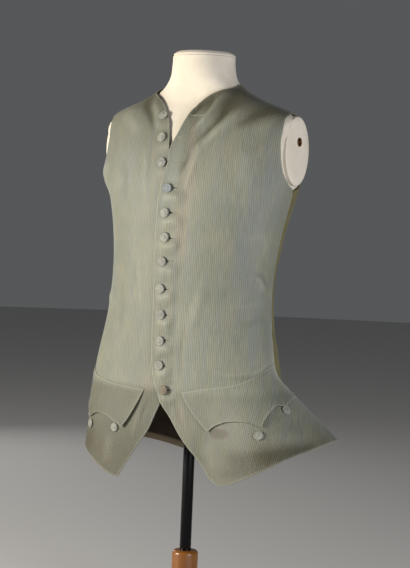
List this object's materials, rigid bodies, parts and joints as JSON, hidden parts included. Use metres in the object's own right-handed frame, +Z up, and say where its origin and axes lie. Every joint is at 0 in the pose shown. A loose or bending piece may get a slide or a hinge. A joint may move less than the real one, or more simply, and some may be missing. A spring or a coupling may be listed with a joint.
{
  "type": "historic waistcoat on a limbless dress form with a stand",
  "caption": "Sleeveless ribbed-silk waistcoat with scalloped pocket flaps and covered buttons, buttoned on a limbless dress form on a rod stand.",
  "frame": {"origin": "centre of the round base's underside, on the rod's axis", "axes": "+Z up along the rod, the waistcoat's front faces -Y, the wearer's left is +X"},
  "size_m": [0.5308, 0.34, 1.0683],
  "materials": {
    "sage_silk": "finely ribbed sage green silk, soft low sheen, worn",
    "back_cloth": "plain olive worsted, matte",
    "button_silk": "silk-covered button, soft sheen",
    "form_covering": "cream painted shell, matte",
    "brass": "aged, dull",
    "black_enamel": "gloss black enamel",
    "beech": "turned and varnished"
  },
  "bodies": {
    "root": {"arm_plate_left": "form_covering", "arm_plate_right": "form_covering", "arm_socket_left": "brass", "arm_socket_right": "brass", "back_left": "back_cloth", "back_right": "back_cloth", "button_01": "button_silk", "button_02": "button_silk", "button_03": "button_silk", "button_04": "button_silk", "button_05": "button_silk", "button_06": "button_silk", "button_07": "button_silk", "button_08": "button_silk", "button_09": "button_silk", "button_10": "button_silk", "button_11": "button_silk", "button_12": "button_silk", "form_neck_cap": "form_covering", "form_torso": "form_covering", "front_left": "sage_silk", "front_right": "sage_silk", "pocket_button_left_2": "button_silk", "pocket_button_left_3": "button_silk", "pocket_button_right_1": "button_silk", "pocket_button_right_2": "button_silk", "pocket_button_right_3": "button_silk", "pocket_flap_left": "sage_silk", "pocket_flap_right": "sage_silk", "stand_base": "beech", "stand_column": "beech", "stand_rod": "black_enamel"}
  },
  "joints": []
}
